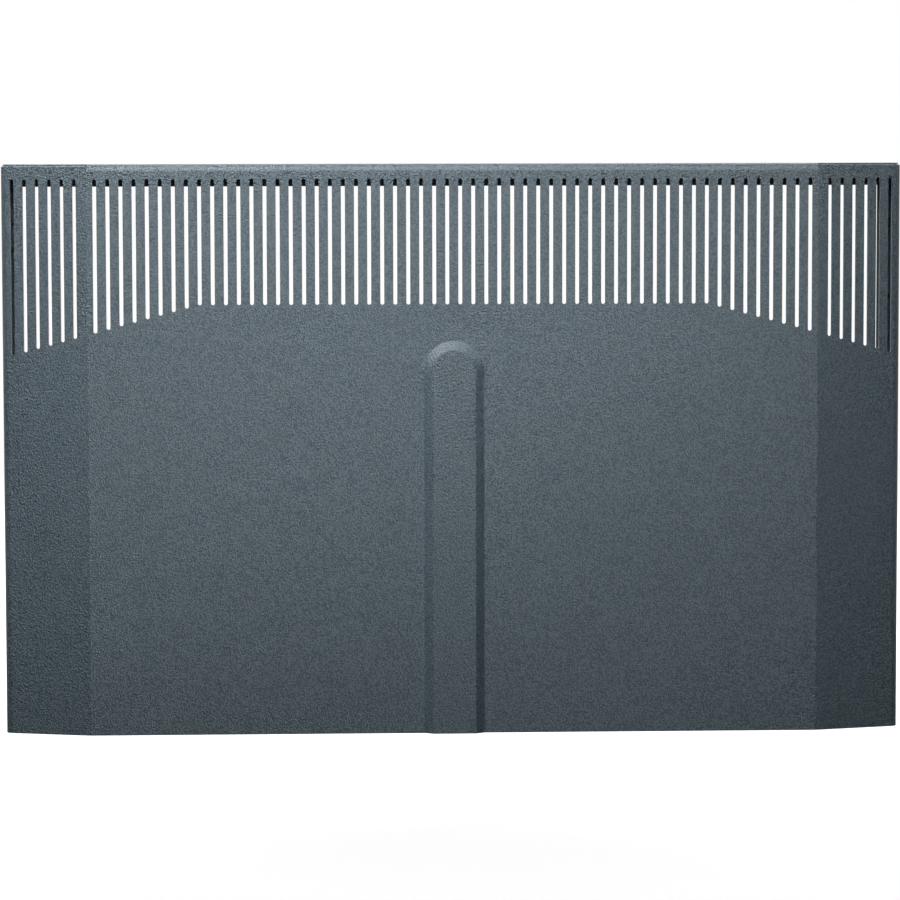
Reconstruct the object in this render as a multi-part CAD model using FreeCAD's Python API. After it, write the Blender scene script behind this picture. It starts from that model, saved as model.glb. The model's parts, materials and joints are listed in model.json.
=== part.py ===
import FreeCAD, Part
import math
import os
from FreeCAD import Vector

# A vented sheet-steel rack door on a sprung pin hinge. Sizes are in millimetres and degrees.
# It is drawn in the door's own frame: X from the door's middle to the right as the front is seen,
# Y from the front face into the rack, Z up from the lower edge. It is written out with the origin at the
# centre of the lower hinge bracket's screw holes, on the face of the rack post.

# Door sheet
door_width = 600.0           # over the side faces
door_height = 380.0
pan_depth = 40.0             # front face of the flat middle to the rear face of the lips
sheet = 1.2
facet_run = 57.4             # each side facet, measured straight across the door
facet_angle = 15.0           # how far the facets fall back
facet_fold_radius = 3.0      # outer radii of the folds
side_fold_radius = 6.0
top_fold_radius = 5.0
lip_fold_radius = 2.0
side_lip = 12.2              # side face to the free edge of the rear lip
top_lip = 15.0               # top edge to the free edge of the rear lip
wall_drop = 0.8              # top of the flange to the upper edges of the facets and sides
rim_bevel = 0.8              # bevel along those edges
seam = 0.3                   # gap between sheet edges that meet at a corner
seam_setback = 1.2           # gap from the facets to the top flange at the outer corners

# Vent slots
slot_width = 2.6
slot_pitch = 8.63
slot_top_drop = 9.7          # top edge to the upper tips
slot_level_drop = 93.1       # top edge to the lower tips of the level slots
slot_level_width = 338.0     # slots within this width end level
slot_step_angle = 15.0       # slope of the line of lower tips outside it
slot_middle_land = 4.5       # least distance from a slot's centre line in to a facet fold
slot_facet_land = 8.6        # facet fold to the first slot's centre line on the facet
slot_edge_land = 6.5         # least distance from a slot's centre line out to the side face

# Pressed rib
rib_width = 40.0
rib_crown = 28.4             # flat top of the rib
rib_height = 4.0
rib_drop = 24.2              # level slot tips to the rib's upper end
rib_bend_radius = 2.0        # inner radius of the rib's bends

# Channel welded inside the lower edge
channel_flange = 15.0        # height of the flange on the back of the skin
channel_lip = 14.3           # height of the rear lip
channel_fold_radius = 2.5
channel_end_gap = 4.0        # end of the flange to the facet fold

# Fits
running_fit = 0.08           # radial clearance of a turning or sliding pin
assembly_fit = 0.05          # radial clearance round a rivet, screw or push fit
stop_gap = 0.2               # between a moving face and its stop

# Hinge carriers, riveted on the hinge-side lip
hinge_width = 8.5
hinge_edge = 0.6             # side face of the door to the outer edge of the hinge parts
hinge_inset = 28.0           # top or lower edge of the door to the end of the carrier
carrier_sheet = 2.0
carrier_height = 40.0
carrier_fold_radius = 3.0
pin_radius = 2.5
pin_offset = 5.5             # back of the carrier to the hinge axis
rivet_radius = 1.5
rivet_spacing = 18.0
rivet_head_radius = 2.6
rivet_head_height = 1.1
rivet_shoulder_radius = 2.1  # where the head turns in to its crown
rivet_shoulder_height = 0.7
rivet_crown_radius = 1.1
rivet_tail_radius = 2.1
rivet_tail_height = 1.6

# Brackets on the rack post
bracket_sheet = 2.5
bracket_height = 40.0
bracket_fold_radius = 4.0
bracket_clearance = 2.5      # carrier's legs to the bracket, which they pass as the door opens
bracket_gap = 0.5            # carrier to the upper bracket's tab
screw_hole_radius = 2.15
screw_spacing = 20.0
screw_inset = 10.0           # free end of the bracket to the first screw hole

# Sprung hinge pin
pin_lead = 1.5               # pin standing past the bracket's tab or the carrier's leg
pin_chamfer = 0.8
clip_groove_depth = 0.5
clip_thickness = 0.9
clip_radius = 4.0
clip_mouth = 3.2             # opening of the ring
seat_thickness = 1.0
seat_radius = 3.8
spring_wire_radius = 0.4
spring_coil_radius = 3.25    # middle of the wire
spring_turns = 7
spring_wire_sides = 6        # the wire's section is a hexagon
knob_radius = 4.0
knob_length = 12.0
knob_gap = 1.0               # carrier to the knob
knob_waist_depth = 0.7
knob_waist_length = 5.0
roll_pin_radius = 0.75

# Fixed lower pivot
pivot_head_radius = 4.0
pivot_head_height = 2.0
washer_thickness = 1.0
washer_radius = 4.2

# Snap studs and buffers on the closing-side lip
stud_edge = 6.1              # side face to the studs' and buffers' centre line
stud_inset = 40.0            # top or lower edge to a snap stud
stud_radius = 2.0
stud_collar_radius = 2.9
stud_collar_height = 2.0
stud_neck_radius = 1.6
stud_reach = 9.0             # lip to the centre of the ball
ball_radius = 3.0
stud_nut_width = 7.0         # across flats
stud_nut_height = 3.2
stud_washer_radius = 3.8
stud_washer_thickness = 0.8
stud_end = 1.2               # thread standing past the nut
buffer_inset = 90.0          # top or lower edge to a buffer
buffer_radius = 3.5
buffer_tip_radius = 2.6
buffer_neck_radius = 2.0
buffer_barb_radius = 2.7
buffer_barb_height = 3.0
buffer_tail_radius = 1.2
buffer_tip_bevel = 0.9

# Earthing point on the bottom channel
earth_edge = 38.0            # hinge-side face of the door to the stud
earth_depth = 28.0           # front face to the stud
earth_radius = 3.0
earth_length = 18.0
earth_chamfer = 0.75
earth_collar_radius = 4.0
earth_collar_height = 1.0
earth_washer_radius = 6.0
earth_washer_thickness = 1.6
earth_nut_width = 10.0       # across flats
earth_nut_height = 5.0

# Places worked out from the sizes above
half_width = door_width / 2
middle_half = half_width - facet_run
facet_fall = facet_run * math.tan(math.radians(facet_angle))
wall_top = door_height - wall_drop
lip_edge = half_width - side_lip
hinge_x = -half_width + hinge_edge + hinge_width / 2
hinge_y = pan_depth + carrier_sheet + pin_offset
post_y = hinge_y + hinge_width / 2 + bracket_clearance + bracket_sheet
upper_carrier_top = door_height - hinge_inset
upper_carrier_bottom = upper_carrier_top - carrier_height
lower_carrier_bottom = hinge_inset
upper_tab_bottom = upper_carrier_top + bracket_gap
lower_tab_top = lower_carrier_bottom - stop_gap - washer_thickness
pin_top = upper_tab_bottom + bracket_sheet + pin_lead
clip_top = upper_carrier_top - carrier_sheet - stop_gap
seat_bottom = clip_top - clip_thickness - seat_thickness
knob_top = upper_carrier_bottom - knob_gap
stud_x = half_width - stud_edge
stud_heights = (stud_inset, door_height - stud_inset)
buffer_heights = (buffer_inset, door_height - buffer_inset)
earth_x = -half_width + earth_edge
lower_screw_middle = lower_tab_top - bracket_sheet + bracket_height - screw_inset - screw_spacing / 2
origin = Vector(hinge_x, post_y, lower_screw_middle)

RIGHT = Vector(1, 0, 0)
BACK = Vector(0, 1, 0)
UP = Vector(0, 0, 1)
same_place = 1e-4            # points closer than this count as one


def path_corner(before, corner, after):
    """Directions away from a corner and half the angle between them."""
    back = (before - corner).normalize()
    ahead = (after - corner).normalize()
    return back, ahead, back.getAngle(ahead) / 2


def rounded_path(points, radii):
    """Edges of an open path through the points, with an arc of each radius at its inner corner."""
    edges = []
    start = points[0]
    for before, corner, after, radius in zip(points, points[1:], points[2:], radii):
        last = corner
        if radius > 0:
            back, ahead, half_angle = path_corner(before, corner, after)
            reach = radius / math.tan(half_angle)
            bisector = (back + ahead).normalize()
            crest = corner + bisector * (radius / math.sin(half_angle) - radius)
            first = corner + back * reach
            last = corner + ahead * reach
            edges.append(Part.LineSegment(start, first).toShape())
            edges.append(Part.Arc(first, crest, last).toShape())
        else:
            edges.append(Part.LineSegment(start, corner).toShape())
        start = last
    edges.append(Part.LineSegment(start, points[-1]).toShape())
    return edges


def inset_points(points, distance):
    """The path's points moved to the inside of its bends. All bends turn the same way."""
    moved = []
    for before, corner, after in zip(points, points[1:], points[2:]):
        back, ahead, half_angle = path_corner(before, corner, after)
        bisector = (back + ahead).normalize()
        moved.append(corner + bisector * (distance / math.sin(half_angle)))
    ends = []
    for end, corner, beyond in ((points[0], points[1], points[2]), (points[-1], points[-2], points[-3])):
        along = (corner - end).normalize()
        turn = beyond - corner
        inward = (turn - along * turn.dot(along)).normalize()
        ends.append(end + inward * distance)
    return [ends[0]] + moved + [ends[1]]


def lies_on(edge, wire):
    """Whether the edge's ends and middle are on the wire."""
    middle = edge.valueAt((edge.FirstParameter + edge.LastParameter) / 2)
    points = [vertex.Point for vertex in edge.Vertexes] + [middle]
    return all(wire.distToShape(Part.Vertex(point))[0] < same_place for point in points)


def face_from(edges):
    return Part.Face(Part.Wire(Part.__sortEdges__(edges)))


def closed_face(points, radii):
    """Face inside a path whose two ends are joined by a straight edge."""
    edges = rounded_path(points, radii)
    edges.append(Part.LineSegment(points[-1], points[0]).toShape())
    return face_from(edges)


def sheet_face(points, radii, thickness):
    """Section of a folded sheet whose outer surface follows the points."""
    inner = inset_points(points, thickness)
    edges = rounded_path(points, radii)
    edges += rounded_path(inner, [radius - thickness for radius in radii])
    edges.append(Part.LineSegment(points[0], inner[0]).toShape())
    edges.append(Part.LineSegment(points[-1], inner[-1]).toShape())
    return face_from(edges)


def mirrored(shape):
    return shape.mirror(Vector(), RIGHT)


def both_sides(face, half_length):
    """A section at X = 0 run out to both sides."""
    face.translate(RIGHT * -half_length)
    return face.extrude(RIGHT * (2 * half_length))


def rod(radius, start, direction, length):
    return Part.makeCylinder(radius, length, start, direction)


def turned(profile, base, axis):
    """Solid turned about an axis from (radius, distance along the axis) points on a closed outline."""
    across = BACK if abs(axis.dot(BACK)) < 0.5 else UP
    points = [base + across * radius + axis * along for radius, along in profile]
    face = Part.Face(Part.makePolygon(points + [points[0]]))
    return face.revolve(base, axis, 360)


def hex_nut(width, height, hole_radius, base, axis):
    """Hexagon nut with chamfered corners."""
    corner_radius = width / math.sqrt(3)
    bevel = corner_radius - width / 2
    across = BACK if abs(axis.dot(BACK)) < 0.5 else UP
    side = axis.cross(across)
    corners = []
    for step in range(6):
        angle = math.radians(60 * step)
        spoke = across * math.cos(angle) + side * math.sin(angle)
        corners.append(base + spoke * corner_radius)
    nut = Part.Face(Part.makePolygon(corners + [corners[0]])).extrude(axis * height)
    rim = turned([(0, 0), (width / 2, 0), (corner_radius, bevel), (corner_radius, height - bevel),
                  (width / 2, height), (0, height)], base, axis)
    return nut.common(rim).cut(rod(hole_radius, base, axis, height))


def plan_points(rear):
    """Outer corners of the door in plan, round the front from the hinge side. The sides end at rear."""
    right = [Vector(middle_half, 0, 0), Vector(half_width, facet_fall, 0), Vector(half_width, rear, 0)]
    left = [Vector(-point.x, point.y, 0) for point in reversed(right)]
    return left + right


def pan_walls():
    """Front, facets, sides and rear lips: one section in plan, its upper outer edge bevelled."""
    points = [Vector(-lip_edge, pan_depth, 0)] + plan_points(pan_depth) + [Vector(lip_edge, pan_depth, 0)]
    side_radii = [lip_fold_radius, side_fold_radius, facet_fold_radius]
    radii = side_radii + side_radii[::-1]
    walls = sheet_face(points, radii, sheet).extrude(UP * wall_top)
    fold_start = door_height - 2 * top_fold_radius
    room = Part.makeBox(2 * middle_half, 2 * sheet, 2 * top_fold_radius,
                        Vector(-middle_half, -sheet / 2, fold_start))
    walls = walls.cut(room)
    rim = Part.Wire(rounded_path(points, radii))
    rim.translate(UP * wall_top)
    return walls.makeChamfer(rim_bevel, [edge for edge in walls.Edges if lies_on(edge, rim)])


def top_flange():
    """Flange folded back from the middle, its ears behind the facets and its lip down the rear."""
    front_flat = 2 * top_fold_radius
    rear_flat = pan_depth - 2 * lip_fold_radius
    front = [Vector(0, 0, door_height - front_flat), Vector(0, 0, door_height),
             Vector(0, front_flat, door_height)]
    front_fold = both_sides(sheet_face(front, [top_fold_radius], sheet), middle_half)
    rear = [Vector(0, rear_flat, door_height), Vector(0, pan_depth, door_height),
            Vector(0, pan_depth, door_height - top_lip)]
    rear_fold = both_sides(sheet_face(rear, [lip_fold_radius], sheet), lip_edge)
    inside = inset_points(plan_points(pan_depth - sheet), sheet)
    fold, side, back = inside[3:]
    right = [Vector(fold.x, front_flat, 0), fold + BACK * seam, side + BACK * seam_setback, back,
             Vector(lip_edge, back.y, 0), Vector(lip_edge, rear_flat, 0)]
    left = [Vector(-point.x, point.y, 0) for point in reversed(right)]
    corner = side_fold_radius - sheet
    plate = closed_face(right + left, [0, corner, 0, 0, 0, 0, 0, 0, corner, 0])
    plate.translate(UP * (door_height - sheet))
    return plate.extrude(UP * sheet).fuse([front_fold, rear_fold])


def slot_cutter(lower_drop):
    """Round-ended cutter on the door's centre line, from the slots' top line down to the given drop."""
    radius = slot_width / 2
    upper = door_height - slot_top_drop - radius
    lower = door_height - lower_drop + radius
    corners = [Vector(-radius, -sheet, upper), Vector(-radius, -sheet, lower),
               Vector(radius, -sheet, lower), Vector(radius, -sheet, upper)]
    edges = [Part.LineSegment(corners[0], corners[1]).toShape(),
             Part.Arc(corners[1], Vector(0, -sheet, lower - radius), corners[2]).toShape(),
             Part.LineSegment(corners[2], corners[3]).toShape(),
             Part.Arc(corners[3], Vector(0, -sheet, upper + radius), corners[0]).toShape()]
    return face_from(edges).extrude(BACK * (3 * sheet))


def slot_cutters():
    """Every vent slot, spaced and stepped along the flat blank before it is folded."""
    def lower_drop(distance):
        past_level = max(0, distance - slot_level_width / 2)
        return slot_level_drop + past_level * math.tan(math.radians(slot_step_angle))

    cutters = []
    middle_count = int((middle_half - slot_middle_land) / slot_pitch + 0.5)
    for step in range(middle_count):
        distance = (step + 0.5) * slot_pitch
        cutter = slot_cutter(lower_drop(distance))
        cutter.translate(RIGHT * distance)
        cutters.append(cutter)
    facet_length = facet_run / math.cos(math.radians(facet_angle))
    facet_count = int((facet_length - slot_facet_land - slot_edge_land) / slot_pitch) + 1
    for step in range(facet_count):
        distance = middle_half + slot_facet_land + step * slot_pitch
        cutter = slot_cutter(lower_drop(distance))
        cutter.translate(RIGHT * distance)
        cutter.rotate(RIGHT * middle_half, UP, facet_angle)
        cutters.append(cutter)
    return cutters + [mirrored(cutter) for cutter in cutters]


def rib_form(inner):
    """Solid under the rib's front surface, or under its rear surface when inner is true."""
    slope_run = (rib_width - rib_crown) / 2
    slope_angle = math.atan2(rib_height, slope_run)
    depth = sheet if inner else 0
    shift = depth * math.tan(slope_angle / 2)
    tight = rib_bend_radius
    wide = rib_bend_radius + sheet
    flare = 2 * wide
    middle_z = door_height - slot_level_drop - rib_drop - rib_width / 2
    floor = 2 * sheet if inner else sheet
    outline = [(0, depth - rib_height), (rib_crown / 2 - shift, depth - rib_height),
               (rib_width / 2 - shift, depth), (rib_width / 2 + flare, depth),
               (rib_width / 2 + flare, floor), (0, floor)]
    points = [Vector(across, back, middle_z) for across, back in outline]
    bends = [tight, wide] if inner else [wide, tight]
    face = closed_face(points, bends + [0, 0])
    round_end = face.revolve(UP * middle_z, -BACK, 180)
    run_out = sheet if inner else 0
    half_run = face.extrude(UP * -(middle_z + run_out))
    return round_end.fuse([half_run, mirrored(half_run)])


def lip_holes():
    """Holes through the rear lips for the rivets, snap studs and buffers."""
    start = Vector(0, pan_depth - sheet, 0)
    places = [(hinge_x, height, rivet_radius) for height in rivet_heights()]
    places += [(stud_x, height, stud_radius) for height in stud_heights]
    places += [(stud_x, height, buffer_neck_radius) for height in buffer_heights]
    return [rod(radius + assembly_fit, start + Vector(across, 0, height), BACK, sheet)
            for across, height, radius in places]


def door_skin():
    skin = pan_walls().fuse(top_flange())
    skin = skin.fuse(rib_form(inner=False)).cut(rib_form(inner=True))
    return skin.cut(slot_cutters() + lip_holes()).removeSplitter()


def bottom_channel():
    """Channel inside the lower edge, with a flange on the back of the skin and a lip at the rear."""
    fit = sheet + seam
    front_flat = sheet + 2 * channel_fold_radius
    rear_flat = pan_depth - 2 * channel_fold_radius
    flange_half = middle_half - channel_end_gap
    lip_half = lip_edge - seam
    front = [Vector(0, sheet, channel_flange), Vector(0, sheet, 0), Vector(0, front_flat, 0)]
    front_fold = both_sides(sheet_face(front, [channel_fold_radius], sheet), flange_half)
    rear = [Vector(0, rear_flat, 0), Vector(0, pan_depth, 0), Vector(0, pan_depth, channel_lip)]
    rear_fold = both_sides(sheet_face(rear, [channel_fold_radius], sheet), lip_half)
    inside = inset_points(plan_points(pan_depth - fit), fit)
    right = [Vector(flange_half, front_flat, 0), Vector(flange_half, fit, 0)]
    right += inside[3:]
    right += [Vector(lip_half, pan_depth - fit, 0), Vector(lip_half, rear_flat, 0)]
    left = [Vector(-point.x, point.y, 0) for point in reversed(right)]
    corner = side_fold_radius - fit
    web = closed_face(right + left, [0, 0, corner, 0, 0, 0, 0, 0, 0, corner, 0, 0])
    web = web.extrude(UP * sheet)
    return web.fuse([front_fold, rear_fold]).removeSplitter()


def rivet_heights():
    """Heights of the rivets in the upper and the lower carrier."""
    heights = []
    for bottom in (upper_carrier_bottom, lower_carrier_bottom):
        middle = bottom + carrier_height / 2
        heights += [middle - rivet_spacing / 2, middle + rivet_spacing / 2]
    return heights


def hinge_pressing(points, radii, thickness, straight_end):
    """Strip folded along the points, with its free end rounded about the hinge axis."""
    radius = hinge_width / 2
    section = sheet_face(points, radii, thickness)
    section.translate(RIGHT * (hinge_x - radius))
    strip = section.extrude(RIGHT * hinge_width)
    toward = math.copysign(radius, hinge_y - straight_end)
    corners = [Vector(hinge_x - radius, straight_end, 0), Vector(hinge_x - radius, hinge_y, 0),
               Vector(hinge_x + radius, hinge_y, 0), Vector(hinge_x + radius, straight_end, 0)]
    edges = [Part.LineSegment(corners[0], corners[1]).toShape(),
             Part.Arc(corners[1], Vector(hinge_x, hinge_y + toward, 0), corners[2]).toShape(),
             Part.LineSegment(corners[2], corners[3]).toShape(),
             Part.LineSegment(corners[3], corners[0]).toShape()]
    return strip.common(face_from(edges).extrude(UP * door_height))


def hinge_carrier(bottom):
    """U pressing: a base on the lip and two legs that hold the pin."""
    top = bottom + carrier_height
    leg_end = hinge_y + hinge_width
    points = [Vector(0, leg_end, bottom), Vector(0, pan_depth, bottom),
              Vector(0, pan_depth, top), Vector(0, leg_end, top)]
    radii = [carrier_fold_radius, carrier_fold_radius]
    carrier = hinge_pressing(points, radii, carrier_sheet, pan_depth)
    holes = [rod(pin_radius + running_fit, Vector(hinge_x, hinge_y, bottom), UP, carrier_height)]
    for height in rivet_heights():
        start = Vector(hinge_x, pan_depth, height)
        holes.append(rod(rivet_radius + assembly_fit, start, BACK, carrier_sheet))
    return carrier.cut(holes)


def carrier_rivets():
    """Blind rivets with a domed head on the carrier and a set tail behind the lip."""
    rivets = []
    for height in rivet_heights():
        lip_front = Vector(hinge_x, pan_depth - sheet, height)
        head_base = Vector(hinge_x, pan_depth + carrier_sheet, height)
        shank = rod(rivet_radius, lip_front, BACK, sheet + carrier_sheet)
        tail = turned([(0, 0), (rivet_tail_radius, 0), (rivet_tail_radius, rivet_tail_height / 2),
                       (rivet_radius, rivet_tail_height), (0, rivet_tail_height)], lip_front, -BACK)
        head = turned([(0, 0), (rivet_head_radius, 0), (rivet_shoulder_radius, rivet_shoulder_height),
                       (rivet_crown_radius, rivet_head_height), (0, rivet_head_height)], head_base, BACK)
        rivets.append(shank.fuse([tail, head]).removeSplitter())
    return Part.makeCompound(rivets)


def hinge_bracket(tab_outside, away):
    """Angle on the rack post. Its tab's outer face is at tab_outside, and its plate runs away from it."""
    tab_end = hinge_y - hinge_width
    plate_end = tab_outside + away * bracket_height
    points = [Vector(0, tab_end, tab_outside), Vector(0, post_y, tab_outside), Vector(0, post_y, plate_end)]
    bracket = hinge_pressing(points, [bracket_fold_radius], bracket_sheet, post_y)
    low = min(tab_outside, plate_end)
    holes = [rod(pin_radius + running_fit, Vector(hinge_x, hinge_y, low), UP, bracket_height)]
    for distance in (screw_inset, screw_inset + screw_spacing):
        start = Vector(hinge_x, post_y - bracket_sheet, plate_end - away * distance)
        holes.append(rod(screw_hole_radius, start, BACK, bracket_sheet))
    return bracket.cut(holes)


def hinge_pin():
    """Sliding pin with a chamfered nose and a groove for its retaining ring."""
    bottom = knob_top - knob_length
    length = pin_top - bottom
    nose = pin_radius - pin_chamfer
    groove_radius = pin_radius - clip_groove_depth
    groove_low = clip_top - clip_thickness - bottom
    groove_high = clip_top - bottom
    profile = [(0, 0), (pin_radius, 0), (pin_radius, groove_low), (groove_radius, groove_low),
               (groove_radius, groove_high), (pin_radius, groove_high), (pin_radius, length - pin_chamfer),
               (nose, length), (0, length)]
    return turned(profile, Vector(hinge_x, hinge_y, bottom), UP).cut(roll_pin_hole())


def pin_clip():
    """Open ring that snaps into the pin's groove."""
    base = Vector(hinge_x, hinge_y, clip_top - clip_thickness)
    ring = rod(clip_radius, base, UP, clip_thickness)
    ring = ring.cut(rod(pin_radius - clip_groove_depth, base, UP, clip_thickness))
    mouth = Part.makeBox(clip_mouth, 2 * clip_radius, clip_thickness, base - RIGHT * (clip_mouth / 2))
    return ring.cut(mouth)


def spring_seat():
    base = Vector(hinge_x, hinge_y, seat_bottom)
    washer = rod(seat_radius, base, UP, seat_thickness)
    return washer.cut(rod(pin_radius + assembly_fit, base, UP, seat_thickness))


def pin_spring():
    """Coil between the carrier's lower leg and the spring seat."""
    low = upper_carrier_bottom + carrier_sheet + spring_wire_radius
    height = seat_bottom - spring_wire_radius - low
    helix = Part.makeHelix(height / spring_turns, height, spring_coil_radius)
    corners = []
    for step in range(spring_wire_sides + 1):
        angle = 2 * math.pi * step / spring_wire_sides
        across = spring_coil_radius + spring_wire_radius * math.cos(angle)
        corners.append(Vector(across, 0, spring_wire_radius * math.sin(angle)))
    coil = Part.Wire(helix.Edges).makePipeShell([Part.makePolygon(corners)], True, True)
    coil.translate(Vector(hinge_x, hinge_y, low))
    return coil


def roll_pin_hole():
    middle = Vector(hinge_x - knob_radius, hinge_y, knob_top - knob_length / 2)
    return rod(roll_pin_radius, middle, RIGHT, 2 * knob_radius)


def pull_knob():
    """Waisted knob on the lower end of the pin."""
    waist_low = (knob_length - knob_waist_length) / 2
    waist_high = waist_low + knob_waist_length
    waist_radius = knob_radius - knob_waist_depth
    slope = 2 * knob_waist_depth
    bore = pin_radius + assembly_fit
    profile = [(bore, 0), (waist_radius, 0), (knob_radius, knob_waist_depth), (knob_radius, waist_low),
               (waist_radius, waist_low + slope), (waist_radius, waist_high - slope),
               (knob_radius, waist_high), (knob_radius, knob_length - knob_waist_depth),
               (waist_radius, knob_length), (bore, knob_length)]
    return turned(profile, Vector(hinge_x, hinge_y, knob_top - knob_length), UP).cut(roll_pin_hole())


def knob_roll_pin():
    """Cross pin, as long as the knob's waist is thick."""
    reach = knob_radius - knob_waist_depth
    start = Vector(hinge_x - reach, hinge_y, knob_top - knob_length / 2)
    return rod(roll_pin_radius, start, RIGHT, 2 * reach)


def pivot_pin():
    """Headed pin that stands up from the lower bracket's tab into the carrier."""
    base = lower_tab_top - bracket_sheet - pivot_head_height
    top = lower_carrier_bottom + carrier_sheet + pin_lead + pin_chamfer
    length = top - base
    profile = [(0, 0), (pivot_head_radius, 0), (pivot_head_radius, pivot_head_height),
               (pin_radius, pivot_head_height), (pin_radius, length - pin_chamfer),
               (pin_radius - pin_chamfer, length), (0, length)]
    return turned(profile, Vector(hinge_x, hinge_y, base), UP)


def thrust_washer():
    base = Vector(hinge_x, hinge_y, lower_tab_top)
    washer = rod(washer_radius, base, UP, washer_thickness)
    return washer.cut(rod(pin_radius + assembly_fit, base, UP, washer_thickness))


def at_stud_heights(make):
    """One piece at each snap stud, built about the point where the stud leaves the lip's rear face."""
    return Part.makeCompound([make(Vector(stud_x, pan_depth, height)) for height in stud_heights])


def ball_stud(seat):
    thread = sheet + stud_washer_thickness + stud_nut_height + stud_end
    shank = rod(stud_radius, seat, -BACK, thread)
    collar = rod(stud_collar_radius, seat, BACK, stud_collar_height)
    neck = rod(stud_neck_radius, seat, BACK, stud_reach)
    ball = Part.makeSphere(ball_radius, seat + BACK * stud_reach)
    return shank.fuse([collar, neck, ball]).removeSplitter()


def stud_washer(seat):
    base = seat - BACK * sheet
    washer = rod(stud_washer_radius, base, -BACK, stud_washer_thickness)
    return washer.cut(rod(stud_radius + assembly_fit, base, -BACK, stud_washer_thickness))


def stud_nut(seat):
    base = seat - BACK * (sheet + stud_washer_thickness)
    return hex_nut(stud_nut_width, stud_nut_height, stud_radius + assembly_fit, base, -BACK)


def rubber_buffers():
    """Tapered stops whose barbed tails push through the lip."""
    tip = post_y - pan_depth - stop_gap
    barb_end = sheet + buffer_barb_height
    profile = [(0, -barb_end), (buffer_tail_radius, -barb_end), (buffer_barb_radius, -sheet),
               (buffer_neck_radius, -sheet), (buffer_neck_radius, 0), (buffer_radius, 0),
               (buffer_tip_radius, tip - buffer_tip_bevel),
               (buffer_tip_radius - buffer_tip_bevel, tip), (0, tip)]
    seats = [Vector(stud_x, pan_depth, height) for height in buffer_heights]
    return Part.makeCompound([turned(profile, seat, BACK) for seat in seats])


def earth_place(height):
    return Vector(earth_x, earth_depth, sheet + height)


def earth_stud():
    """Weld stud on the channel's web."""
    profile = [(0, 0), (earth_collar_radius, 0), (earth_collar_radius, earth_collar_height),
               (earth_radius, earth_collar_height), (earth_radius, earth_length - earth_chamfer),
               (earth_radius - earth_chamfer, earth_length), (0, earth_length)]
    return turned(profile, earth_place(0), UP)


def earth_washer():
    base = earth_place(earth_collar_height)
    washer = rod(earth_washer_radius, base, UP, earth_washer_thickness)
    return washer.cut(rod(earth_radius + assembly_fit, base, UP, earth_washer_thickness))


def earth_nut():
    base = earth_place(earth_collar_height + earth_washer_thickness)
    return hex_nut(earth_nut_width, earth_nut_height, earth_radius + assembly_fit, base, UP)


nodes = {
    "door_skin": door_skin(),
    "bottom_channel": bottom_channel(),
    "upper_hinge_carrier": hinge_carrier(upper_carrier_bottom),
    "lower_hinge_carrier": hinge_carrier(lower_carrier_bottom),
    "carrier_rivets": carrier_rivets(),
    "upper_hinge_bracket": hinge_bracket(upper_tab_bottom + bracket_sheet, -1),
    "lower_hinge_bracket": hinge_bracket(lower_tab_top - bracket_sheet, 1),
    "hinge_pin": hinge_pin(),
    "pin_clip": pin_clip(),
    "spring_seat": spring_seat(),
    "pin_spring": pin_spring(),
    "pull_knob": pull_knob(),
    "knob_roll_pin": knob_roll_pin(),
    "pivot_pin": pivot_pin(),
    "thrust_washer": thrust_washer(),
    "ball_studs": at_stud_heights(ball_stud),
    "stud_washers": at_stud_heights(stud_washer),
    "stud_nuts": at_stud_heights(stud_nut),
    "rubber_buffers": rubber_buffers(),
    "earth_stud": earth_stud(),
    "earth_washer": earth_washer(),
    "earth_nut": earth_nut(),
}

os.makedirs("parts", exist_ok=True)
for name, shape in nodes.items():
    shape.translate(-origin)
    shape.exportStep(os.path.join("parts", name + ".step"))
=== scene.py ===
import json
import math

import bpy
from mathutils import Matrix, Vector

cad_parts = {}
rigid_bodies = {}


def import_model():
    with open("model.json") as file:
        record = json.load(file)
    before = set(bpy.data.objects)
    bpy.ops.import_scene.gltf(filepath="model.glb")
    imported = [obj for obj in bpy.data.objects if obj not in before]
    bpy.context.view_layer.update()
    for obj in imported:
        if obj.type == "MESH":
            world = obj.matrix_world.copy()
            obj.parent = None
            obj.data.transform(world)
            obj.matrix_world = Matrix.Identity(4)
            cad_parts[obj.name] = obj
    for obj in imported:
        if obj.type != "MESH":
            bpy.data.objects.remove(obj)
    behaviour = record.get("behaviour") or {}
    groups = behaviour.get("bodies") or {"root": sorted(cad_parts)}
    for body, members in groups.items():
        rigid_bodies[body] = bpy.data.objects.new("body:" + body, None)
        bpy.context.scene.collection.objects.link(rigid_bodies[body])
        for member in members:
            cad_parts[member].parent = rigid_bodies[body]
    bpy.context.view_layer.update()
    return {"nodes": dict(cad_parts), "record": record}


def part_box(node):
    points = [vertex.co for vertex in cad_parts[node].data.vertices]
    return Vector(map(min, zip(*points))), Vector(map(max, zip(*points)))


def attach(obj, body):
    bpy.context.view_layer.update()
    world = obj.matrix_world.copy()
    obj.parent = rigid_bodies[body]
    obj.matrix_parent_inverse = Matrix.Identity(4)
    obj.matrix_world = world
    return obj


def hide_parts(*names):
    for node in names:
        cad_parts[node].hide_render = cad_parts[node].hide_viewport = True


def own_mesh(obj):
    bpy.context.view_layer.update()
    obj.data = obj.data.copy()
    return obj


# Looks of the rack door: finishes, small hardware with threads and coils, floor, light and camera.
# Lengths are in metres and angles in degrees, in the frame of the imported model.

# Camera, measured from the middle of the door's lower edge on its front face
CAMERA_ASIDE = -0.1017
CAMERA_DISTANCE = 2.5
CAMERA_HEIGHT = 0.3879
CAMERA_YAW = -2.266
CAMERA_PITCH = -4.523
CAMERA_ROLL = 0.116
FOCAL_PIXELS = 3771.0
IMAGE_PIXELS = 900
SENSOR_WIDTH = 36.0          # millimetres

# Sheet metal
RIB_HEIGHT = 0.004
SHEET = 0.0012
CARRIER_SHEET = 0.002

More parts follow.
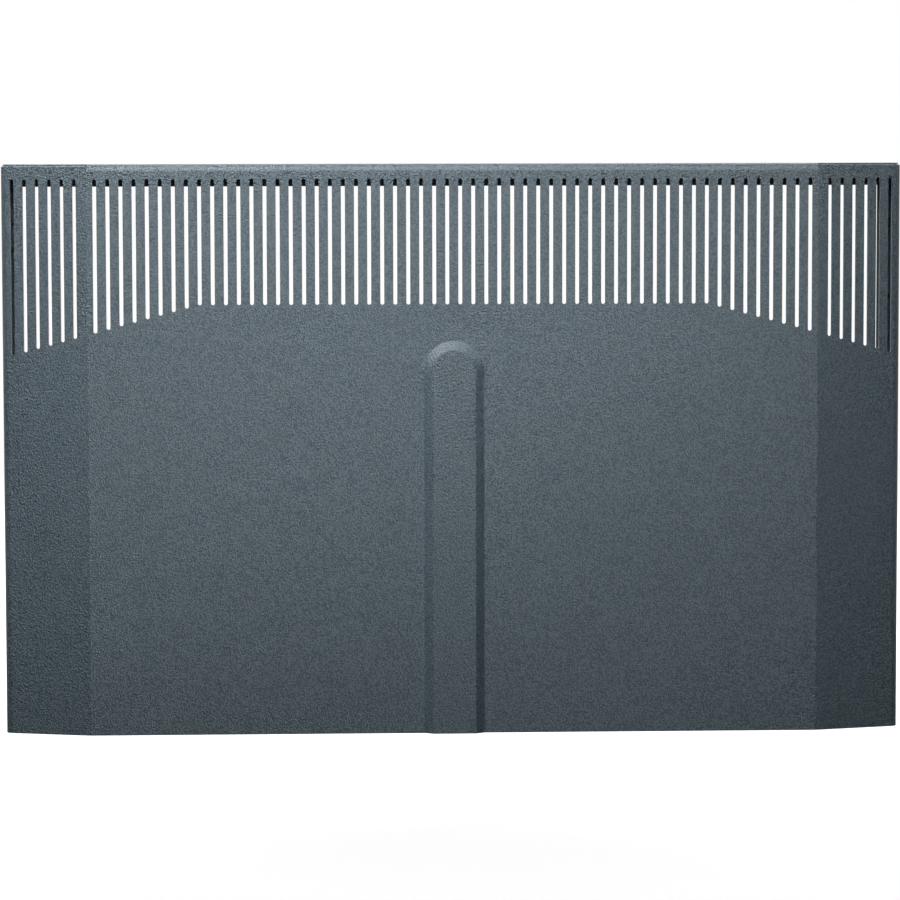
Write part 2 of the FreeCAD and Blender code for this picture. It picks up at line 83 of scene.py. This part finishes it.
# Blind rivets
RIVET_SPACING = 0.018
RIVET_RADIUS = 0.0015
RIVET_HEAD_RADIUS = 0.0026
RIVET_TAIL_RADIUS = 0.0021
RIVET_TAIL_HEIGHT = 0.0016
RIVET_END_RADIUS = 0.00075   # flat end of the tail
RIVET_END_BEVEL = 0.0002
MANDREL_RADIUS = 0.0009
MANDREL_DIP_RADIUS = 0.000855
MANDREL_DIP = 0.0003

# Spring of the hinge pin
WIRE_RADIUS = 0.0004
SPRING_TURNS = 6.0           # open turns, between the closed end turns
SPRING_END_TURNS = 1.0

# Snap studs
BALL_RADIUS = 0.003
BALL_NECK_RADIUS = 0.0016
BALL_COLLAR_RADIUS = 0.0029
BALL_COLLAR_HEIGHT = 0.002
BALL_REACH = 0.009           # lip to the centre of the ball
STUD_RADIUS = 0.002
STUD_PITCH = 0.0007

# Earthing stud
EARTH_RADIUS = 0.003
EARTH_PITCH = 0.001
EARTH_COLLAR_RADIUS = 0.004
EARTH_COLLAR_HEIGHT = 0.001

# Rubber buffers
BUFFER_RADIUS = 0.0035
BUFFER_TIP_RADIUS = 0.0026
BUFFER_NECK_RADIUS = 0.002
BUFFER_BARB_RADIUS = 0.0027
BUFFER_BARB_HEIGHT = 0.003
BUFFER_BARB_DRAFT = 0.0002   # how much the barb narrows at the lip
BUFFER_TAIL_RADIUS = 0.0012
BUFFER_END_RADIUS = 0.00072  # flat end of the tail
BUFFER_BEVEL = 0.0003
BUFFER_ROUND = 0.0009        # rounding of the tip's rim
BUFFER_FOOT_ROUND = 0.0004

# Fineness of the meshes
RING_STEPS = 48              # points round a turned piece
ARC_STEPS = 6                # steps along a rounded edge
COIL_STEPS = 32              # rings of points in a turn of the spring
WIRE_STEPS = 12              # points round the wire
THREAD_STEPS = 6             # rings of points in a pitch of a thread
THREAD_DEPTH = 0.6           # share of the pitch
BALL_STEP = 8                # angle from ring to ring of a ball
BALL_END = 86                # angle that the rings of a ball stop short of
SHARP_ANGLE = 40             # edges that turn by more stay sharp

# Floor: its tone to the camera, the tone that its bounce has, and the white that is added to it
FLOOR_TONE = 0.5
FLOOR_BOUNCE = 0.06
FLOOR_LIFT = 0.86
FLOOR_ROUGHNESS = 0.9
FLOOR_REACH = 3.0
FLOOR_CLEAR = 0.02           # shares of the way in from its rim where it starts to show and shows fully
FLOOR_SOLID = 0.6

# Surroundings: the weak fill, and how far back the white in reflections grows to its full strength
WORLD_FILL = 0.02
WHITE_RAMP = 0.3

BACK = Vector((0, 1, 0))
UP = Vector((0, 0, 1))
WHITE = (1, 1, 1, 1)

for leftover in list(bpy.data.objects):
    bpy.data.objects.remove(leftover)

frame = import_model()
nodes = frame["nodes"]
mounts = {mount["name"]: Vector(mount["pos_m"]) for mount in frame["record"]["mounts"]}
skin_low, skin_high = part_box("door_skin")
door_middle = Vector(((skin_low.x + skin_high.x) / 2, skin_low.y + RIB_HEIGHT, skin_low.z))
half_height = (skin_high.z - skin_low.z) / 2


# Materials

class Finish:
    """A material and the few node calls that its finishes are made of."""

    def __init__(self, name, color, roughness, metallic=0.0):
        self.material = bpy.data.materials.new(name)
        self.material.use_nodes = True
        self.tree = self.material.node_tree
        self.shader = self.tree.nodes["Principled BSDF"]
        self.shader.inputs["Base Color"].default_value = (*color, 1)
        self.shader.inputs["Roughness"].default_value = roughness
        self.shader.inputs["Metallic"].default_value = metallic
        self.color = color
        self.place = self.tree.nodes.new("ShaderNodeTexCoord").outputs["Object"]

    def stretched(self, scale):
        """The place on the piece, with each axis scaled."""
        mapping = self.tree.nodes.new("ShaderNodeMapping")
        mapping.inputs["Scale"].default_value = scale
        self.tree.links.new(self.place, mapping.inputs["Vector"])
        return mapping.outputs["Vector"]

    def noise(self, scale, detail, place=None):
        node = self.tree.nodes.new("ShaderNodeTexNoise")
        node.inputs["Scale"].default_value = scale
        node.inputs["Detail"].default_value = detail
        self.tree.links.new(place or self.place, node.inputs["Vector"])
        return node.outputs["Fac"]

    def mapped(self, value, low, high, start=0.3, end=0.7):
        """The value's range from start to end, spread from low to high."""
        node = self.tree.nodes.new("ShaderNodeMapRange")
        node.inputs["From Min"].default_value = start
        node.inputs["From Max"].default_value = end
        node.inputs["To Min"].default_value = low
        node.inputs["To Max"].default_value = high
        self.tree.links.new(value, node.inputs["Value"])
        return node.outputs["Result"]

    def blend_color(self, value, first, last):
        """Base colour between two colours."""
        ramp = self.tree.nodes.new("ShaderNodeValToRGB")
        for stop, color in zip(ramp.color_ramp.elements, (first, last)):
            stop.color = (*color, 1)
        self.tree.links.new(value, ramp.inputs["Fac"])
        self.tree.links.new(ramp.outputs["Color"], self.shader.inputs["Base Color"])

    def vary_color(self, value, darkest, lightest):
        """Base colour between two shares of the finish's colour."""
        dark = [channel * darkest for channel in self.color]
        light = [channel * lightest for channel in self.color]
        self.blend_color(value, dark, light)

    def vary_roughness(self, value, low, high):
        self.tree.links.new(self.mapped(value, low, high), self.shader.inputs["Roughness"])

    def bump(self, height, depth):
        """Surface relief of the given depth."""
        node = self.tree.nodes.new("ShaderNodeBump")
        node.inputs["Strength"].default_value = 1.0
        node.inputs["Distance"].default_value = depth
        self.tree.links.new(height, node.inputs["Height"])
        self.tree.links.new(node.outputs["Normal"], self.shader.inputs["Normal"])


def powder_coat():
    """Fine-textured satin slate paint: small soft grains, each a little lighter or darker than the next."""
    dark_grain = (0.0002, 0.021, 0.0365)
    light_grain = (0.0598, 0.091, 0.1095)
    finish = Finish("powder_coat", color=(0.030, 0.056, 0.073), roughness=0.62)
    finish.shader.inputs["Specular IOR Level"].default_value = 1.0
    finish.shader.inputs["IOR"].default_value = 1.56
    grain = finish.noise(scale=1100, detail=0.0)
    finish.blend_color(finish.mapped(grain, low=0, high=1, start=0.45, end=0.55), dark_grain, light_grain)
    finish.vary_roughness(grain, low=0.47, high=0.77)
    finish.bump(finish.noise(scale=900, detail=1.0), depth=0.00062)
    return finish.material


def zinc_plate():
    """Bright zinc with a faint cloudy spangle."""
    finish = Finish("zinc_plate", color=(0.62, 0.63, 0.64), roughness=0.34, metallic=1.0)
    cloud = finish.noise(scale=180, detail=3.0)
    finish.vary_color(cloud, darkest=0.86, lightest=1.1)
    finish.vary_roughness(cloud, low=0.26, high=0.42)
    finish.bump(finish.noise(scale=2600, detail=2.0), depth=0.00003)
    return finish.material


def black_steel():
    """Satin black plating, a little cloudy."""
    finish = Finish("black_steel", color=(0.02, 0.021, 0.022), roughness=0.42)
    cloud = finish.noise(scale=900, detail=2.0)
    finish.vary_color(cloud, darkest=0.75, lightest=1.3)
    finish.vary_roughness(cloud, low=0.34, high=0.5)
    finish.bump(finish.noise(scale=2200, detail=2.0), depth=0.00003)
    return finish.material


def bright_steel():
    """Turned steel, with fine tool marks round its upright axis."""
    finish = Finish("bright_steel", color=(0.58, 0.58, 0.58), roughness=0.28, metallic=1.0)
    marks = finish.noise(scale=1.0, detail=2.0, place=finish.stretched((300, 300, 6000)))
    finish.vary_roughness(marks, low=0.2, high=0.38)
    finish.vary_color(marks, darkest=0.88, lightest=1.06)
    finish.bump(marks, depth=0.00004)
    return finish.material


def spring_steel():
    """Drawn wire with an uneven film on it."""
    finish = Finish("spring_steel", color=(0.3, 0.3, 0.31), roughness=0.32, metallic=1.0)
    film = finish.noise(scale=700, detail=3.0)
    finish.vary_color(film, darkest=0.75, lightest=1.15)
    finish.vary_roughness(film, low=0.24, high=0.42)
    return finish.material


def nylon():
    """Milky nylon that lets a little light in."""
    finish = Finish("nylon", color=(0.8, 0.79, 0.74), roughness=0.45)
    finish.shader.inputs["Subsurface Weight"].default_value = 0.15
    finish.shader.inputs["Subsurface Radius"].default_value = (0.001, 0.001, 0.001)
    finish.vary_color(finish.noise(scale=300, detail=2.0), darkest=0.94, lightest=1.03)
    finish.bump(finish.noise(scale=1500, detail=2.0), depth=0.00003)
    return finish.material


def buffer_rubber():
    """Matt black rubber with a faint moulded grain."""
    finish = Finish("buffer_rubber", color=(0.025, 0.025, 0.026), roughness=0.75)
    finish.vary_color(finish.noise(scale=400, detail=3.0), darkest=0.8, lightest=1.6)
    finish.bump(finish.noise(scale=1400, detail=3.0), depth=0.00006)
    return finish.material


finishes = {
    "powder_coat": powder_coat(),
    "zinc_plate": zinc_plate(),
    "black_steel": black_steel(),
    "bright_steel": bright_steel(),
    "spring_steel": spring_steel(),
    "nylon": nylon(),
    "buffer_rubber": buffer_rubber(),
}

for subpart in frame["record"]["subparts"]:
    nodes[subpart["node"]].material_slots[0].material = finishes[subpart["material_slot"]]


# Small hardware

def add_piece(name, points, faces, slot, body, *stands_for):
    """A smooth mesh with a finish that rides on a body and stands for CAD nodes."""
    mesh = bpy.data.meshes.new(name)
    mesh.from_pydata(points, [], faces)
    mesh.materials.append(finishes[slot])
    mesh.shade_smooth()
    mesh.set_sharp_from_angle(angle=math.radians(SHARP_ANGLE))
    piece = bpy.data.objects.new(name, mesh)
    bpy.context.scene.collection.objects.link(piece)
    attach(piece, body)
    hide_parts(*stands_for)
    return piece


def arc(middle_radius, middle_along, size, start, end):
    """Points of (radius, along) on an arc, with angles from straight out to along the axis."""
    points = []
    for step in range(ARC_STEPS + 1):
        angle = math.radians(start + (end - start) * step / ARC_STEPS)
        points.append((middle_radius + size * math.cos(angle), middle_along + size * math.sin(angle)))
    return points


def turned(rings, base, axis):
    """Closed mesh turned about an axis. A ring is a function from a share of a turn to (radius, along)."""
    across = Vector((1, 0, 0))
    side = axis.cross(across)
    points = []
    for ring in rings:
        for step in range(RING_STEPS):
            share = step / RING_STEPS
            radius, along = ring(share)
            angle = 2 * math.pi * share
            outward = across * math.cos(angle) + side * math.sin(angle)
            points.append(base + axis * along + outward * radius)
    faces = []
    for index in range(len(rings) - 1):
        low = index * RING_STEPS
        high = low + RING_STEPS
        for step in range(RING_STEPS):
            after = (step + 1) % RING_STEPS
            faces.append((low + step, low + after, high + after, high + step))
    last_ring = (len(rings) - 1) * RING_STEPS
    faces.append(list(reversed(range(RING_STEPS))))
    faces.append([last_ring + step for step in range(RING_STEPS)])
    return points, faces


def plain_rings(profile):
    """Rings that are true circles, one for each point of (radius, along)."""
    return [lambda share, spot=spot: spot for spot in profile]


def thread_rings(radius, pitch, start, end):
    """Rings of a right-hand thread that fades to its root at both ends."""
    depth = THREAD_DEPTH * pitch
    steps = max(2, round((end - start) / pitch * THREAD_STEPS))
    rings = []
    for step in range(steps + 1):
        along = start + (end - start) * step / steps

        def ring(share, along=along):
            phase = (along / pitch - share) % 1.0
            crest = 1 - abs(2 * phase - 1)
            fade = min(1.0, (along - start) / pitch, (end - along) / pitch)
            return radius - depth * (1 - crest * fade), along
        rings.append(ring)
    return rings


def joined(meshes):
    """Points and faces of several meshes as one."""
    all_points, all_faces = [], []
    for points, faces in meshes:
        first = len(all_points)
        all_points += points
        all_faces += [[first + corner for corner in face] for face in faces]
    return all_points, all_faces


def carrier_rivets():
    """Blind rivets: domed head with the broken mandrel in its middle, and a set tail inside the lip."""
    low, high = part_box("carrier_rivets")
    tail_end, head_end = low.y, high.y
    seat = tail_end + RIVET_TAIL_HEIGHT
    carrier_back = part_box("upper_hinge_carrier")[0].y + CARRIER_SHEET
    profile = [(RIVET_END_RADIUS, tail_end), (RIVET_RADIUS, tail_end + RIVET_END_BEVEL)]
    profile += [(RIVET_TAIL_RADIUS, tail_end + RIVET_TAIL_HEIGHT / 2), (RIVET_TAIL_RADIUS, seat)]
    profile += [(RIVET_RADIUS, seat), (RIVET_RADIUS, carrier_back), (RIVET_HEAD_RADIUS, carrier_back)]
    for step in range(1, ARC_STEPS):
        angle = math.radians(90) * step / ARC_STEPS
        radius = MANDREL_RADIUS + (RIVET_HEAD_RADIUS - MANDREL_RADIUS) * math.cos(angle)
        profile.append((radius, carrier_back + (head_end - carrier_back) * math.sin(angle)))
    profile += [(MANDREL_RADIUS, head_end), (MANDREL_DIP_RADIUS, head_end - MANDREL_DIP)]
    meshes = []
    for carrier in ("lower_hinge_carrier", "upper_hinge_carrier"):
        carrier_low, carrier_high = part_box(carrier)
        middle = (carrier_low.z + carrier_high.z) / 2
        for height in (middle - RIVET_SPACING / 2, middle + RIVET_SPACING / 2):
            base = Vector(((carrier_low.x + carrier_high.x) / 2, 0, height))
            meshes.append(turned(plain_rings(profile), base, BACK))
    add_piece("blind_rivets", *joined(meshes), "black_steel", "door", "carrier_rivets")


def pin_spring():
    """Round-wire coil with closed end turns, as long as the CAD spring; the real spring shortens as the pin
    is drawn.
    """
    low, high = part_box("pin_spring")
    middle = (low + high) / 2
    coil_radius = (high.x - low.x) / 2 - WIRE_RADIUS
    turns = SPRING_TURNS + 2 * SPRING_END_TURNS
    wire = 2 * WIRE_RADIUS
    open_height = high.z - low.z - wire - 2 * SPRING_END_TURNS * wire
    points = []
    for step in range(round(turns * COIL_STEPS) + 1):
        turn = step / COIL_STEPS
        closed = min(turn, SPRING_END_TURNS) + max(0, turn - SPRING_END_TURNS - SPRING_TURNS)
        opened = min(max(0, turn - SPRING_END_TURNS), SPRING_TURNS)
        height = low.z + WIRE_RADIUS + closed * wire + opened * open_height / SPRING_TURNS
        outward = Vector((math.cos(2 * math.pi * turn), math.sin(2 * math.pi * turn), 0))
        centre = Vector((middle.x, middle.y, height)) + outward * coil_radius
        for corner in range(WIRE_STEPS):
            angle = 2 * math.pi * corner / WIRE_STEPS
            points.append(centre + (outward * math.cos(angle) + UP * math.sin(angle)) * WIRE_RADIUS)
    faces = []
    for near in range(0, len(points) - WIRE_STEPS, WIRE_STEPS):
        far = near + WIRE_STEPS
        for corner in range(WIRE_STEPS):
            after = (corner + 1) % WIRE_STEPS
            faces.append((near + corner, far + corner, far + after, near + after))
    faces.append(list(range(WIRE_STEPS)))
    faces.append([len(points) - 1 - corner for corner in range(WIRE_STEPS)])
    coil = add_piece("pin_coil", points, faces, "spring_steel", "door", "pin_spring")
    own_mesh(coil)


def ball_profile(centre):
    """Points of (radius, along) on a ball, from its neck to near its tip."""
    neck = math.degrees(math.acos(BALL_NECK_RADIUS / BALL_RADIUS))
    points = []
    for degrees in range(-round(neck), BALL_END, BALL_STEP):
        angle = math.radians(degrees)
        points.append((BALL_RADIUS * math.cos(angle), centre + BALL_RADIUS * math.sin(angle)))
    return points


def ball_studs():
    """Snap studs with a ball, a neck, a collar on the lip and a threaded shank through the nut."""
    shank_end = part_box("ball_studs")[0].y
    lip = mounts["lower_snap_stud"].y - BALL_REACH
    collar_back = lip + BALL_COLLAR_HEIGHT
    collar = [(BALL_COLLAR_RADIUS, lip), (BALL_COLLAR_RADIUS, collar_back), (BALL_NECK_RADIUS, collar_back)]
    meshes = []
    for name in ("lower_snap_stud", "upper_snap_stud"):
        ball = mounts[name]
        rings = thread_rings(STUD_RADIUS, STUD_PITCH, shank_end, lip)
        rings += plain_rings(collar + ball_profile(ball.y))
        meshes.append(turned(rings, Vector((ball.x, 0, ball.z)), BACK))
    add_piece("snap_studs", *joined(meshes), "black_steel", "door", "ball_studs")


def earth_stud():
    """Threaded weld stud on the bottom channel."""
    low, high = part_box("earth_stud")
    base = Vector((mounts["earthing_stud"].x, mounts["earthing_stud"].y, low.z))
    root_radius = EARTH_RADIUS - THREAD_DEPTH * EARTH_PITCH
    rings = plain_rings([(EARTH_COLLAR_RADIUS, 0), (EARTH_COLLAR_RADIUS, EARTH_COLLAR_HEIGHT),
                         (root_radius, EARTH_COLLAR_HEIGHT)])
    rings += thread_rings(EARTH_RADIUS, EARTH_PITCH, EARTH_COLLAR_HEIGHT, high.z - low.z)
    add_piece("earth_thread", *turned(rings, base, UP), "zinc_plate", "door", "earth_stud")


def rubber_buffers():
    """Moulded stops with rounded rims, pushed through the lip by their barbed tails."""
    low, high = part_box("rubber_buffers")
    lip_front = low.y + BUFFER_BARB_HEIGHT
    lip_back = lip_front + SHEET
    profile = [(BUFFER_END_RADIUS, low.y), (BUFFER_TAIL_RADIUS, low.y + BUFFER_BEVEL)]
    profile += [(BUFFER_BARB_RADIUS, lip_front - BUFFER_BEVEL)]
    profile += [(BUFFER_BARB_RADIUS - BUFFER_BARB_DRAFT, lip_front)]
    profile += [(BUFFER_NECK_RADIUS, lip_front), (BUFFER_NECK_RADIUS, lip_back)]
    foot_middle = BUFFER_RADIUS - BUFFER_FOOT_ROUND
    profile += arc(foot_middle, lip_back + BUFFER_FOOT_ROUND, BUFFER_FOOT_ROUND, -90, 0)
    profile += arc(BUFFER_TIP_RADIUS - BUFFER_ROUND, high.y - BUFFER_ROUND, BUFFER_ROUND, 0, 90)
    meshes = []
    for height in (low.z + BUFFER_RADIUS, high.z - BUFFER_RADIUS):
        base = Vector(((low.x + high.x) / 2, 0, height))
        meshes.append(turned(plain_rings(profile), base, BACK))
    add_piece("door_buffers", *joined(meshes), "buffer_rubber", "door", "rubber_buffers")


carrier_rivets()
pin_spring()
ball_studs()
earth_stud()
rubber_buffers()


# Floor, light and camera

def combined(tree, operation, first, second):
    """Result of a math node on two sockets, or on a socket and a number."""
    node = tree.nodes.new("ShaderNodeMath")
    node.operation = operation
    tree.links.new(first, node.inputs[0])
    if isinstance(second, (int, float)):
        node.inputs[1].default_value = second
    else:
        tree.links.new(second, node.inputs[1])
    return node.outputs[0]


def shown_white(tree, place):
    """1 for rays from the camera and, behind the door, for rays from a gloss or through glass."""
    path = tree.nodes.new("ShaderNodeLightPath")
    mirrored = combined(tree, "MAXIMUM", path.outputs["Is Glossy Ray"], path.outputs["Is Transmission Ray"])
    axes = tree.nodes.new("ShaderNodeSeparateXYZ")
    tree.links.new(place, axes.inputs["Vector"])
    behind = tree.nodes.new("ShaderNodeMapRange")
    behind.inputs["From Max"].default_value = WHITE_RAMP
    tree.links.new(axes.outputs["Y"], behind.inputs["Value"])
    mirrored = combined(tree, "MULTIPLY", mirrored, behind.outputs["Result"])
    return combined(tree, "MAXIMUM", path.outputs["Is Camera Ray"], mirrored)


def floor_tone(tree):
    """Paler to the camera than to the light that bounces off the floor."""
    tone = tree.nodes.new("ShaderNodeMapRange")
    tone.inputs["To Min"].default_value = FLOOR_BOUNCE
    tone.inputs["To Max"].default_value = FLOOR_TONE
    tree.links.new(tree.nodes.new("ShaderNodeLightPath").outputs["Is Camera Ray"], tone.inputs["Value"])
    return tone.outputs["Result"]


def floor_cover(tree, place, centre):
    """1 near the door, and less towards the floor's rim."""
    mapping = tree.nodes.new("ShaderNodeMapping")
    mapping.vector_type = "TEXTURE"
    mapping.inputs["Location"].default_value = centre
    mapping.inputs["Scale"].default_value = (FLOOR_REACH, FLOOR_REACH, FLOOR_REACH)
    tree.links.new(place, mapping.inputs["Vector"])
    gradient = tree.nodes.new("ShaderNodeTexGradient")
    gradient.gradient_type = "SPHERICAL"
    tree.links.new(mapping.outputs["Vector"], gradient.inputs["Vector"])
    fade = tree.nodes.new("ShaderNodeMapRange")
    fade.interpolation_type = "SMOOTHSTEP"
    fade.inputs["From Min"].default_value = FLOOR_CLEAR
    fade.inputs["From Max"].default_value = FLOOR_SOLID
    tree.links.new(gradient.outputs["Fac"], fade.inputs["Value"])
    return fade.outputs["Result"]


def add_floor():
    """Pale floor under the door that fades out into the white round it."""
    material = bpy.data.materials.new("floor")
    material.use_nodes = True
    tree = material.node_tree
    place = tree.nodes.new("ShaderNodeTexCoord").outputs["Object"]
    shader = tree.nodes["Principled BSDF"]
    shader.inputs["Roughness"].default_value = FLOOR_ROUGHNESS
    shader.inputs["Specular IOR Level"].default_value = 0.0
    shader.inputs["Emission Color"].default_value = WHITE
    lift = combined(tree, "MULTIPLY", shown_white(tree, place), FLOOR_LIFT)
    tree.links.new(lift, shader.inputs["Emission Strength"])
    tree.links.new(floor_tone(tree), shader.inputs["Base Color"])
    tree.links.new(floor_cover(tree, place, door_middle), shader.inputs["Alpha"])
    mesh = bpy.data.meshes.new("floor")
    corners = []
    for aside, back in ((-1, -1), (1, -1), (1, 1), (-1, 1)):
        corners.append(door_middle + Vector((aside, back, 0)) * FLOOR_REACH)
    mesh.from_pydata(corners, [], [(0, 1, 2, 3)])
    mesh.materials.append(material)
    floor = bpy.data.objects.new("floor", mesh)
    bpy.context.scene.collection.objects.link(floor)


def add_softbox(name, place, target, size, power, spread=180):
    """Rectangular light, placed and aimed from the middle of the door's lower edge.

    The power is in watts. A spread under 180 degrees narrows the beam.
    """
    light = bpy.data.lights.new(name, "AREA")
    light.shape = "RECTANGLE"
    light.size, light.size_y = size
    light.energy = power
    light.spread = math.radians(spread)
    lamp = bpy.data.objects.new(name, light)
    lamp.location = door_middle + Vector(place)
    aim = Vector(target) - Vector(place)
    lamp.rotation_euler = aim.to_track_quat("-Z", "Y").to_euler()
    lamp.visible_camera = False
    bpy.context.scene.collection.objects.link(lamp)


def add_lights():
    """A wide box and two high side boxes light the front, and two boxes light the back."""
    add_softbox("key", place=(-0.045, -0.98, 0.955), target=(-0.095, 0, 0.3),
                size=(1.04, 0.635), power=1.78, spread=35)
    add_softbox("front_left", place=(-0.54, -0.4, 1.03), target=(-0.06, 0, 0.435),
                size=(0.2, 0.2), power=1.36, spread=58)
    add_softbox("front_right", place=(0.5, -0.4, 0.95), target=(-0.065, 0, 0.405),
                size=(0.47, 0.47), power=0.205, spread=12.3)
    for name, aside in (("back_left", -0.8), ("back_right", 0.8)):
        add_softbox(name, place=(aside, 1.2, 1.1), target=(0, 0, half_height), size=(0.8, 0.8), power=18)


def add_world():
    """White to the camera, white behind the door in reflections, and a weak even fill elsewhere."""
    world = bpy.data.worlds.new("studio")
    world.use_nodes = True
    tree = world.node_tree
    background = tree.nodes["Background"]
    background.inputs["Color"].default_value = WHITE
    direction = tree.nodes.new("ShaderNodeTexCoord").outputs["Generated"]
    strength = combined(tree, "MAXIMUM", shown_white(tree, direction), WORLD_FILL)
    tree.links.new(strength, background.inputs["Strength"])
    bpy.context.scene.world = world


def add_camera():
    """Camera of the photo's view."""
    data = bpy.data.cameras.new("camera")
    data.sensor_width = SENSOR_WIDTH
    data.lens = FOCAL_PIXELS * SENSOR_WIDTH / IMAGE_PIXELS
    camera = bpy.data.objects.new("camera", data)
    place = door_middle + Vector((CAMERA_ASIDE, -CAMERA_DISTANCE, CAMERA_HEIGHT))
    turn = Matrix.Rotation(math.radians(CAMERA_YAW), 4, "Z")
    tilt = Matrix.Rotation(math.radians(90 + CAMERA_PITCH), 4, "X")
    roll = Matrix.Rotation(math.radians(-CAMERA_ROLL), 4, "Z")
    camera.matrix_world = Matrix.Translation(place) @ turn @ tilt @ roll
    bpy.context.scene.collection.objects.link(camera)
    bpy.context.scene.camera = camera


add_floor()
add_lights()
add_world()
add_camera()
bpy.context.scene.view_settings.view_transform = "Standard"
